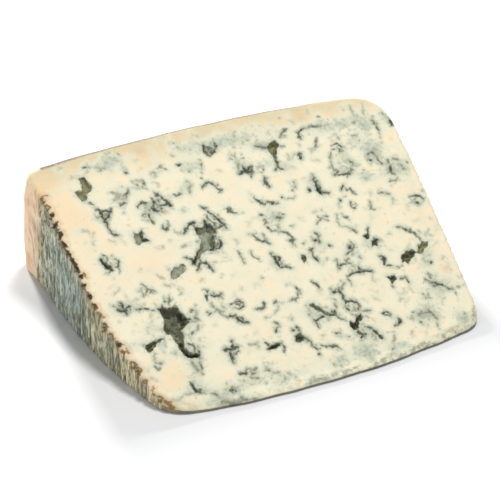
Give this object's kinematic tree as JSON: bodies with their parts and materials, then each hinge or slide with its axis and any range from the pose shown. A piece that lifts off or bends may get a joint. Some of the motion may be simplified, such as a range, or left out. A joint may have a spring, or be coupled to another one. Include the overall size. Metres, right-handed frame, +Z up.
{
  "type": "blue cheese wedge",
  "caption": "Wedge of blue-veined cheese lying on a cut face, with a thick outer wall, a blunt thin tip, grooved rind on both flats and open crevices in the cut faces.",
  "frame": {"origin": "centre of the footprint's bounding box, on the lower cut face that the wedge rests on", "axes": "+X along the wheel's axis, from the flat that faces left in the picture to the other flat; +Y from the blunt thin tip to the outer wall; +Z up from the lower cut face"},
  "size_m": [0.1366, 0.1066, 0.0459],
  "materials": {
    "cheese_paste": "soft matte cheese paste"
  },
  "bodies": {
    "root": {"cheese_wedge": "cheese_paste"}
  },
  "joints": []
}
